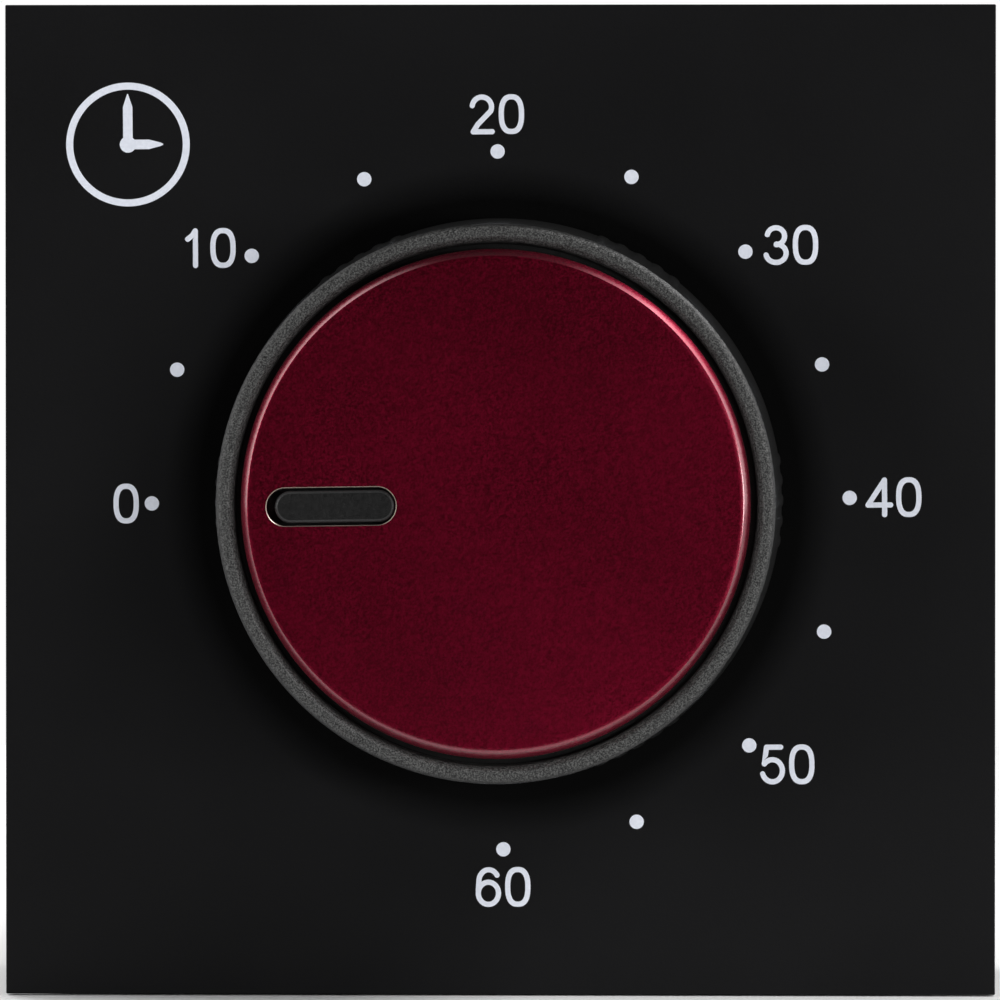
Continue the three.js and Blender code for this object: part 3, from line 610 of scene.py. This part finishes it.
def make_case_shell():
    """The open box behind the plate: walls 2 mm thick with rounded mouths, and four screw bosses."""
    wall, lip, inner_corner = 2 * MM, 0.25 * MM, 1.5 * MM
    front, back = shell_low.y, shell_high.y
    mesh_data = bmesh.new()
    outside = [(inset, front + depth) for inset, depth in rounding(lip, 3)]
    outside += [(inset, back - depth) for inset, depth in reversed(rounding(lip, 3))]
    loops = [case_ring(mesh_data, inset, y) for inset, y in outside]
    within = [(wall - inset, back - depth) for inset, depth in rounding(lip, 3)]
    within += [(wall - inset, front + depth) for inset, depth in reversed(rounding(lip, 3))]
    loops += [ring_of(mesh_data, rounded_square(CASE_HALF - inset, inner_corner + wall - inset), y)
              for inset, y in within]
    for one, other in zip(loops, loops[1:] + loops[:1]):
        skin(mesh_data, one, other)
    for x, z in SCREW_PLACES:
        add_boss(mesh_data, x, z, back)
    piece = add_object("case_walls", mesh_data, CASE_BLACK, "case")
    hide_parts("case_shell")


def add_boss(mesh_data, x, z, back):
    """A screw boss with its hole, from inside the case to the cover."""
    centre = Vector((AXIS.x + x, 0, AXIS.z + z))
    radius, bore, soft = 3.3 * MM, 1.1 * MM, 0.2 * MM
    front, hole_end = back - 14 * MM, back - 10 * MM
    profile = [(bore, back), (radius - soft, back), (radius, back - soft), (radius, front + soft)]
    profile += [(radius - soft, front), (0, front), (0, hole_end), (bore, hole_end)]
    lathe(mesh_data, profile, 48, centre=centre)


def pocket(mesh_data, outline, back, floor_y, soft=0.2 * MM):
    """A sunk pocket with a rounded mouth: outline(inset) gives its edge. Returns its first and last loops."""
    sections = ((-1, 0), (-0.4, 0.15), (-0.08, 0.5), (0, 1))  # inset and depth, in softs
    loops = [ring_of(mesh_data, outline(inset * soft), back - depth * soft) for inset, depth in sections]
    loops.append(ring_of(mesh_data, outline(0), floor_y))
    for one, other in zip(loops, loops[1:]):
        skin(mesh_data, one, other)
    return loops[0], loops[-1]


def sound_slot(z, inset):
    """The outline of the sound slot at height z, shrunk by inset."""
    return pill(-SOUND_SLOT_REACH, z, SOUND_SLOT_REACH, z, SOUND_SLOT_HALF - inset)


def make_rear_cover():
    """The cover with its sound slots, screw recesses and magnet pockets."""
    front, back = cover_low.y, cover_high.y
    border, soft, magnet_reach, head_reach, hole = 1.4 * MM, 0.8 * MM, 9.15 * MM, 2.7 * MM, 1.3 * MM
    magnet_floor, head_floor = front + 0.6 * MM, front + 0.75 * MM
    mesh_data = bmesh.new()
    sections = [(border, back)] + [(inset, back - depth) for inset, depth in rounding(soft, 6)] + [(0, front)]
    loops = [case_ring(mesh_data, inset, y) for inset, y in sections]
    for one, other in zip(loops, loops[1:]):
        skin(mesh_data, one, other)
    back_holes, front_holes = [loops[0]], [loops[-1]]
    for i in range(SOUND_SLOTS):
        z = BELL_Z + SOUND_SLOT_PITCH * (i - (SOUND_SLOTS - 1) / 2)
        mouth, end = pocket(mesh_data, lambda inset: sound_slot(z, inset), back, front, 0.35 * MM)
        back_holes.append(mouth)
        front_holes.append(end)
    for x, z in MAGNET_PLACES:
        mouth, floor = pocket(
            mesh_data, lambda inset: circle(magnet_reach - inset, x, z, 96), back, magnet_floor)
        back_holes.append(mouth)
        fill(mesh_data, [floor])
    for x, z in SCREW_PLACES:
        mouth, floor = pocket(mesh_data, lambda inset: circle(head_reach - inset, x, z, 48), back, head_floor)
        hole_floor = ring_of(mesh_data, circle(hole, x, z, 32), head_floor)
        hole_front = ring_of(mesh_data, circle(hole, x, z, 32), front)
        skin(mesh_data, hole_floor, hole_front)
        fill(mesh_data, [floor, hole_floor])
        back_holes.append(mouth)
        front_holes.append(hole_front)
    fill(mesh_data, back_holes)
    fill(mesh_data, front_holes)
    piece = add_object("back_cover", mesh_data, CASE_BLACK, "case")
    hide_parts("rear_cover")


def screw_profile(seat, tip):
    """The screw's shank from under its head: ridges of thread, then a short point."""
    profile = [(THREAD_RADIUS, seat)]
    y = seat - 0.6 * MM
    while y - THREAD_PITCH > tip + 1 * MM:
        ridge = ((SHANK_RADIUS, 0), (THREAD_RADIUS, 0.4), (THREAD_RADIUS, 0.5), (SHANK_RADIUS, 0.9))
        profile += [(radius, y - part * THREAD_PITCH) for radius, part in ridge]
        y -= THREAD_PITCH
    return profile + [(SHANK_RADIUS, tip + 0.6 * MM), (0.3 * MM, tip)]


def make_cover_screw(number, x, z):
    """A pan head with a cross slot, on its shank with thread ridges."""
    low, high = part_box(f"rear_cover_screw_{number}")
    back = high.y
    mesh_data = bmesh.new()
    head, seat = 2.5 * MM, back - 1.25 * MM
    loops = [ring_of(mesh_data, circle(head - inset, x, z, 64), back - depth)
             for inset, depth in rounding(0.35 * MM)]
    loops.append(ring_of(mesh_data, circle(head, x, z, 64), seat))
    for one, other in zip(loops, loops[1:]):
        skin(mesh_data, one, other)
    reach, half, sunk = 1.45 * MM, 0.3 * MM, 0.6 * MM
    cross = []
    for quarter in range(4):
        c, s = (1, 0, -1, 0)[quarter], (0, 1, 0, -1)[quarter]
        for a, b in ((reach, -half), (reach, half), (half, half)):
            cross.append((x + a * c - b * s, z + a * s + b * c))
    mouth, floor = ring_of(mesh_data, cross, back), ring_of(mesh_data, cross, back - sunk)
    skin(mesh_data, mouth, floor)
    fill(mesh_data, [loops[0], mouth])
    fill(mesh_data, [floor])
    rings = [ring_of(mesh_data, circle(r, x, z, 32), y) for r, y in screw_profile(seat, low.y)]
    for one, other in zip(rings, rings[1:]):
        skin(mesh_data, one, other)
    fill(mesh_data, [loops[-1], rings[0]])
    fill(mesh_data, [rings[-1]])
    piece = add_object(f"cover_screw_{number}", mesh_data, STEEL, "case")
    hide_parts(f"rear_cover_screw_{number}")


def make_magnet(number, x, z):
    """A plated disc with a rounded edge."""
    low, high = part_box(f"magnet_{number}")
    soft, radius = 0.3 * MM, 9 * MM
    profile = [(0, high.y), (radius - 1 * MM, high.y)]
    profile += [(radius - inset, high.y - depth) for inset, depth in rounding(soft)]
    profile += [(radius, low.y), (0, low.y)]
    centre = Vector((AXIS.x + x, 0, AXIS.z + z))
    piece = turn(f"magnet_disc_{number}", profile, 128, NICKEL, "case", "magnet", centre=centre)
    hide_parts(f"magnet_{number}")


def make_foot(number):
    """A round rubber pad with a rounded tread edge and a dimple below."""
    low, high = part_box(f"foot_{number}")
    centre = (low + high) / 2
    top, bottom, radius, soft = high.z, low.z, (high.x - low.x) / 2, 0.3 * MM
    tread, dimple = radius - 0.12 * MM, 1.3 * MM
    profile = [(0, top), (radius, top)]
    profile += [(tread - inset, bottom + depth) for inset, depth in reversed(rounding(soft, 4))]
    profile += [(dimple + 0.3 * MM, bottom), (dimple, bottom + 0.3 * MM), (0, bottom + 0.3 * MM)]
    name = f"rubber_foot_{number}"
    piece = turn(name, profile, 96, RUBBER, "case", "rubber", centre=centre, upright=True)
    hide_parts(f"foot_{number}")


make_case_shell()
make_rear_cover()
for number, (x, z) in enumerate(SCREW_PLACES, 1):
    make_cover_screw(number, x, z)
for number, (x, z) in enumerate(MAGNET_PLACES, 1):
    make_magnet(number, x, z)
for number in range(1, 5):
    make_foot(number)

# ---- dial print ---------------------------------------------------------------------------------
PRINT_TILT = math.radians(0.475)  # the print is turned a little anticlockwise
PRINT_CENTRE = (0.04 * MM, -0.05 * MM)  # its middle, from the knob's axis
DOT_CIRCLE = 28.2 * MM
DOT_RADIUS = 0.58 * MM
INK_DEPTH = 0.02 * MM
LEVEL_STEP = 0.004 * MM  # strokes that cross lie at slightly different depths
MARKS = 13  # one each five minutes
TURN_PER_MARK = math.radians(22.5)
DIGIT_HEIGHT = 3.22 * MM
DIGIT_WIDTH = 2.05 * MM
DIGIT_PITCH = 2.38 * MM
JOIN_STEP = math.radians(12)  # a round join turns by about this much from point to point
STROKE = 0.21 * MM  # half the width of a line


def tilted(x, z):
    """A point of the print, from its own axes to the plate's."""
    c, s = math.cos(PRINT_TILT), math.sin(PRINT_TILT)
    return PRINT_CENTRE[0] + x * c - z * s, PRINT_CENTRE[1] + x * s + z * c


def ink_slab(mesh_data, outline, level=0, holes=()):
    """A thin raised area of ink."""
    top = FACE_Y - INK_DEPTH - level * LEVEL_STEP
    loops = []
    for points in (outline, *holes):
        placed = [tilted(x, z) for x, z in points]
        front, back = ring_of(mesh_data, placed, top), ring_of(mesh_data, placed, FACE_Y)
        skin(mesh_data, front, back)
        loops.append((front, back))
    fill(mesh_data, [front for front, _ in loops])
    fill(mesh_data, [back for _, back in loops])


def arc(x, z, rx, rz, start, stop, steps=24):
    """Points on an ellipse between two angles in degrees."""
    angles = [math.radians(start + (stop - start) * i / steps) for i in range(steps + 1)]
    return [(x + rx * math.cos(t), z + rz * math.sin(t)) for t in angles]


def oval(x, z, rx, rz, fullness, steps=120):
    """A closed ellipse, or with a fullness above 2 a squarer oval."""
    points = []
    for i in range(steps):
        t = 2 * math.pi * i / steps
        c, s = math.cos(t), math.sin(t)
        points.append((
            x + rx * math.copysign(abs(c) ** (2 / fullness), c),
            z + rz * math.copysign(abs(s) ** (2 / fullness), s),
        ))
    return points


def stroke_outline(points):
    """The outline of a line with round ends and round joins."""
    lanes = ([], [])
    count = len(points)
    for i, (x, z) in enumerate(points):
        x0, z0 = points[max(0, i - 1)]
        x1, z1 = points[min(count - 1, i + 1)]
        before = math.atan2(z - z0, x - x0) if i else math.atan2(z1 - z, x1 - x)
        after = math.atan2(z1 - z, x1 - x) if i < count - 1 else before
        bend = (after - before + math.pi) % (2 * math.pi) - math.pi
        for side, lane in zip((1, -1), lanes):
            outside = bend * side < -JOIN_STEP
            if outside:
                steps = max(2, int(abs(bend) / JOIN_STEP))
                turns = [before + bend * k / steps for k in range(steps + 1)]
                reach = STROKE
            else:
                turns = [before + bend / 2]
                reach = STROKE / max(0.3, math.cos(bend / 2))
            for turn_angle in turns:
                a = turn_angle + side * math.pi / 2
                lane.append((x + reach * math.cos(a), z + reach * math.sin(a)))
    caps = []
    for (x, z), (px, pz) in ((points[-1], points[-2]), (points[0], points[1])):
        heading = math.atan2(z - pz, x - px)
        turns = [heading + math.pi / 2 - math.pi * k / 12 for k in range(1, 12)]
        caps.append([(x + STROKE * math.cos(t), z + STROKE * math.sin(t)) for t in turns])
    return lanes[0] + caps[0] + lanes[1][::-1] + caps[1]


def digit_strokes(digit):
    """The centre lines of a digit in a box from (0, 0) to (w, h), as open lines and closed rings."""
    w, h = DIGIT_WIDTH - 2 * STROKE, DIGIT_HEIGHT - 2 * STROKE
    middle = w / 2
    if digit == "0":
        return [], [(middle, h / 2, middle, h / 2, 2.5)]
    if digit == "1":
        stem = middle * 1.18
        return [[(middle * 0.42, h * 0.76), (middle * 0.9, h * 0.87), (stem, h), (stem, 0)]], []
    if digit == "2":
        top = arc(middle, h - middle * 0.98, middle * 0.96, middle * 0.98, 172, -25, 22)
        return [top + [(w * 0.30, h * 0.22), (w * 0.06, 0), (w, 0)]], []
    if digit == "3":
        upper = arc(middle, h * 0.755, middle * 0.86, h * 0.245, 168, -88, 20)
        lower = arc(middle, h * 0.265, middle, h * 0.265, 88, -170, 22)
        return [upper, lower], []
    if digit == "4":
        stem, bar = w * 0.76, h * 0.28
        return [[(stem, h), (-w * 0.06, bar), (w * 1.06, bar)], [(stem, h), (stem, 0)]], []
    if digit == "5":
        bowl = arc(middle, h * 0.32, middle, h * 0.32, 142, -164, 26)
        return [[(w * 0.92, h), (w * 0.22, h), *bowl]], []
    bowl_ring = (middle, h * 0.32, middle, h * 0.32, 2)
    neck = arc(middle * 1.04, h * 0.66, middle * 0.98, h * 0.34, 32, 168, 18)
    return [[*neck, (0.0, h * 0.40)]], [bowl_ring]


def write_number(mesh_data, text, x, z):
    """Writes a number centred on (x, z)."""
    width = DIGIT_PITCH * (len(text) - 1) + DIGIT_WIDTH
    for place, digit in enumerate(text):
        left = x - width / 2 + DIGIT_PITCH * place + STROKE
        foot = z - DIGIT_HEIGHT / 2 + STROKE
        lines, rings = digit_strokes(digit)
        for level, line in enumerate(lines):
            ink_slab(mesh_data, stroke_outline([(left + a, foot + b) for a, b in line]), level)
        for cx, cz, rx, rz, fullness in rings:
            outer = oval(left + cx, foot + cz, rx + STROKE, rz + STROKE, fullness)
            inner = oval(left + cx, foot + cz, rx - STROKE, rz - STROKE, fullness)
            ink_slab(mesh_data, outer, 2, [inner])


NUMBER_PLACES = {  # the middle of each number, in millimetres from the knob's axis
    "0": (-30.28, 0.0), "10": (-23.45, 20.6), "20": (-0.05, 31.2), "30": (23.6, 20.45),
    "40": (31.78, 0.02), "50": (22.98, -21.5), "60": (-0.05, -31.25),
}


def make_print():
    """The numbers, and a dot at each five minutes."""
    numbers = bmesh.new()
    for text, (x, z) in NUMBER_PLACES.items():
        write_number(numbers, text, x * MM, z * MM)
    add_object("dial_numbers", numbers, INK, "case")
    dots = bmesh.new()
    for mark in range(MARKS):
        angle = math.pi - mark * TURN_PER_MARK
        ink_slab(dots, circle(DOT_RADIUS, DOT_CIRCLE * math.cos(angle), DOT_CIRCLE * math.sin(angle), 40))
    add_object("dial_dots", dots, INK, "case")


make_print()

ICON = (-29.87 * MM, 29.02 * MM)
ICON_RADIUS = 5 * MM
ICON_RING = 0.57 * MM
HAND_HALF = 0.385 * MM
HUB_RADIUS = 0.66 * MM
LONG_HAND = (4.08 * MM, 3.02 * MM)  # length, and where it starts to narrow
SHORT_HAND = (2.86 * MM, 1.7 * MM)


def hand(length, shoulder, turned_right):
    """A clock hand that narrows to a point, pointing up or right from the middle of the icon."""
    side = [(0, HAND_HALF), (shoulder, HAND_HALF), (length * 0.92, 0.144 * MM), (length, 0.036 * MM)]
    outline = [(-half, along) for along, half in side] + [(half, along) for along, half in reversed(side)]
    if turned_right:
        outline = [(z, -x) for x, z in outline]
    return [(ICON[0] + x, ICON[1] + z) for x, z in outline]


def make_icon():
    """The clock sign: a ring, a hub and two hands."""
    mesh_data = bmesh.new()
    ink_slab(mesh_data, circle(ICON_RADIUS, *ICON, 128), 0, [circle(ICON_RADIUS - ICON_RING, *ICON, 128)])
    ink_slab(mesh_data, circle(HUB_RADIUS, *ICON, 48), 2)
    ink_slab(mesh_data, hand(*LONG_HAND, False), 0)
    ink_slab(mesh_data, hand(*SHORT_HAND, True), 1)
    add_object("clock_icon", mesh_data, INK, "case")


make_icon()

# ---- finishes of the CAD nodes that stay --------------------------------------------------------
CAD_FINISHES = {
    "black_face": FACE, "black_plastic": CASE_BLACK, "grain_plastic": GRAIN, "red_metal": RED,
    "pointer_black": POINTER_BLACK, "steel": STEEL, "spring_steel": BLUED, "bell_steel": NICKEL,
    "magnet": NICKEL, "brass": BRASS, "rubber": RUBBER,
}
for entry in frame["record"]["subparts"]:
    mesh = nodes[entry["node"]].data
    mesh.materials.clear()
    mesh.materials.append(CAD_FINISHES[entry["material_slot"]])

# ---- floor and light ----------------------------------------------------------------------------
FLOOR_GAP = 0.02 * MM  # keeps the floor's face and the feet's faces apart
FLOOR_SIDE = 900 * MM
FLOOR_AHEAD = 110 * MM  # short, so that the cap doesn't mirror it
FLOOR_BEHIND = 420 * MM


def make_stage():
    """A plain pale floor."""
    mesh_data = bmesh.new()
    near, far = [((-FLOOR_SIDE, y), (FLOOR_SIDE, y)) for y in (-FLOOR_AHEAD, FLOOR_BEHIND)]
    corners = (near[0], near[1], far[1], far[0])
    mesh_data.faces.new([mesh_data.verts.new((x, y, -FLOOR_GAP)) for x, y in corners])
    mesh = bpy.data.meshes.new("floor")
    mesh_data.to_mesh(mesh)
    mesh_data.free()
    floor = bpy.data.objects.new("floor", mesh)
    bpy.context.scene.collection.objects.link(floor)
    pale = Finish("pale_floor").set(Roughness=0.8)
    pale.link(pale.ramp(pale.noise(8, 2), (0.3, (0.78, 0.78, 0.78)), (0.7, (0.82, 0.82, 0.82))), "Base Color")
    floor.data.materials.append(pale.material)


def softbox(name, place, size, power):
    """A white area light that faces the middle of the dial; place and size are in millimetres."""
    data = bpy.data.lights.new(name, "AREA")
    data.shape = "RECTANGLE"
    data.size, data.size_y = size[0] * MM, size[1] * MM
    data.energy = power
    light = bpy.data.objects.new(name, data)
    bpy.context.scene.collection.objects.link(light)
    light.location = AXIS + Vector(place) * MM
    light.rotation_mode = "QUATERNION"
    light.rotation_quaternion = (AXIS - light.location).to_track_quat("-Z", "Y")


make_stage()
softbox("right_box", (360, -500, 0), (360, 76), 1.2)
softbox("left_box", (-400, -420, 90), (200, 160), 1.15)
softbox("top_box", (360, -200, 400), (300, 200), 2.2)
softbox("back_box", (-300, 520, 300), (300, 300), 2.0)

WORLD_STRENGTH = 2.7
ZENITH_STRENGTH = 0.08
ZENITH = (0.8, 0.96)  # heights on the unit sphere between which the light from above fades
BACKDROP_LEVEL = 1.0
# Light from each direction: 0 is straight in front of the dial, 0.5 its plane and 1 straight behind it.
WORLD_LEVELS = ((0.035, 0.0), (0.2, 0.08), (0.36, 0.16), (0.45, 1.0), (0.55, 1.0), (0.66, 0.25), (1.0, 0.2))


def make_world():
    """White light, most of it from the sides, and none from behind the camera or straight above.

    The camera itself sees an even pale backdrop.
    """
    world = bpy.data.worlds.new("studio")
    bpy.context.scene.world = world
    world.use_nodes = True
    made = Shading(world.node_tree)
    place = made.tree.nodes.new("ShaderNodeTexCoord").outputs["Generated"]
    axes = made.node("ShaderNodeSeparateXYZ", Vector=place)
    depth = made.span(axes.outputs["Y"], -1, 1, 0, 1)
    grey = [(where, (level, level, level)) for where, level in WORLD_LEVELS]
    around = made.ramp(depth, *grey)
    above = made.span(axes.outputs["Z"], *ZENITH, WORLD_STRENGTH, ZENITH_STRENGTH)
    level = made.math("MULTIPLY", around, above)
    seen = made.tree.nodes.new("ShaderNodeLightPath").outputs["Is Camera Ray"]
    backdrop = made.math("MULTIPLY", seen, BACKDROP_LEVEL)
    background = made.tree.nodes["Background"]
    background.inputs["Color"].default_value = (1, 1, 1, 1)
    made.tree.links.new(made.math("MAXIMUM", level, backdrop), background.inputs["Strength"])


make_world()
bpy.context.scene.view_settings.view_transform = "Standard"
